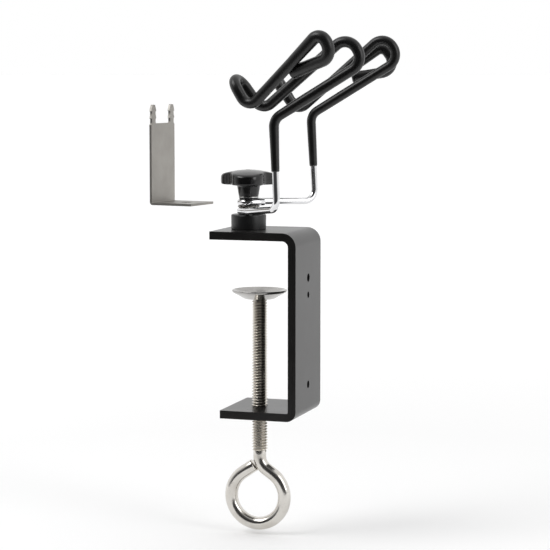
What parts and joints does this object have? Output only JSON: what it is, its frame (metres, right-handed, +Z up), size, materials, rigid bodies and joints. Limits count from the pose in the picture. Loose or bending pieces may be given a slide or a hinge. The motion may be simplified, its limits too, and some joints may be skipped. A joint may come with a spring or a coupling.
{
  "type": "table clamp airbrush holder",
  "caption": "C-shaped table clamp with an eye screw and pressure disc below and swivelling coated wire cradles for airbrushes above, held by a lobed knob, with a loose prong bracket.",
  "frame": {"origin": "on the underside of the upper jaw, on the axis of the clamp screw", "axes": "+Z up along the clamp screw axis, +X from the open side of the jaws to the spine, +Y towards the upper holder"},
  "size_m": [0.118, 0.1128, 0.2488],
  "materials": {
    "black_powder_coat": "satin black powder coat",
    "black_plastic": "plain black moulded plastic",
    "zinc_plate": "bright zinc plate",
    "chrome_wire": "polished chrome plate",
    "dipped_vinyl": "dipped black vinyl, slightly glossy",
    "spring_steel": "bare spring steel",
    "dark_washer": "dark fibre",
    "knob_plastic": "glossy black moulded plastic",
    "brass": "turned brass",
    "nickel_plate": "bright nickel plate",
    "satin_steel": "satin zinc-plated sheet steel"
  },
  "bodies": {
    "clamp": {"clamp_frame": "black_powder_coat", "spacer_hub": "black_plastic", "stud_screw": "zinc_plate", "toothed_washer": "spring_steel"},
    "lower_holder": {"lower_wire_holder": "chrome_wire", "lower_wire_coating": "dipped_vinyl"},
    "upper_holder": {"upper_wire_holder": "chrome_wire", "upper_wire_coating": "dipped_vinyl"},
    "washers": {"friction_washer": "dark_washer", "pressure_washer": "zinc_plate"},
    "knob_body": {"knob": "knob_plastic", "knob_insert": "brass"},
    "disc_body": {"pressure_disc": "nickel_plate"},
    "screw_body": {"clamp_screw": "nickel_plate"},
    "bracket_body": {"prong_bracket": "satin_steel"}
  },
  "joints": [
    {"name": "lower_swivel", "type": "hinge", "parent": "clamp", "child": "lower_holder", "pos_m": [-0.0057, 0, 0.01315], "axis": [0, 0, 1], "range_deg": [-60, 15]},
    {"name": "upper_swivel", "type": "hinge", "parent": "clamp", "child": "upper_holder", "pos_m": [-0.0057, 0, 0.01745], "axis": [0, 0, 1], "range_deg": [-15, 60]},
    {"name": "washer_lift", "type": "slide", "parent": "clamp", "child": "washers", "axis": [0, 0, 1], "range_m": [0, 0.0022]},
    {"name": "knob_spin", "type": "hinge", "parent": "washers", "child": "knob_body", "pos_m": [-0.0057, 0, 0.026], "axis": [0, 0, 1], "range_deg": [0, 720]},
    {"name": "disc_slide", "type": "slide", "parent": "clamp", "child": "disc_body", "axis": [0, 0, 1], "range_m": [-0.05, 0.0215]},
    {"name": "screw_spin", "type": "hinge", "parent": "disc_body", "child": "screw_body", "pos_m": [0, 0, -0.06], "axis": [0, 0, 1], "range_deg": [-12800, 5520]},
    {"name": "bracket_lift", "type": "slide", "parent": "clamp", "child": "bracket_body", "axis": [0, 0, 1], "range_m": [0, 0.1]}
  ],
  "couplings": [
    {"joint": "washer_lift", "follows": "knob_spin", "m_per_rad": 0.0001684},
    {"joint": "screw_spin", "follows": "disc_slide", "rad_per_m": 4453}
  ]
}
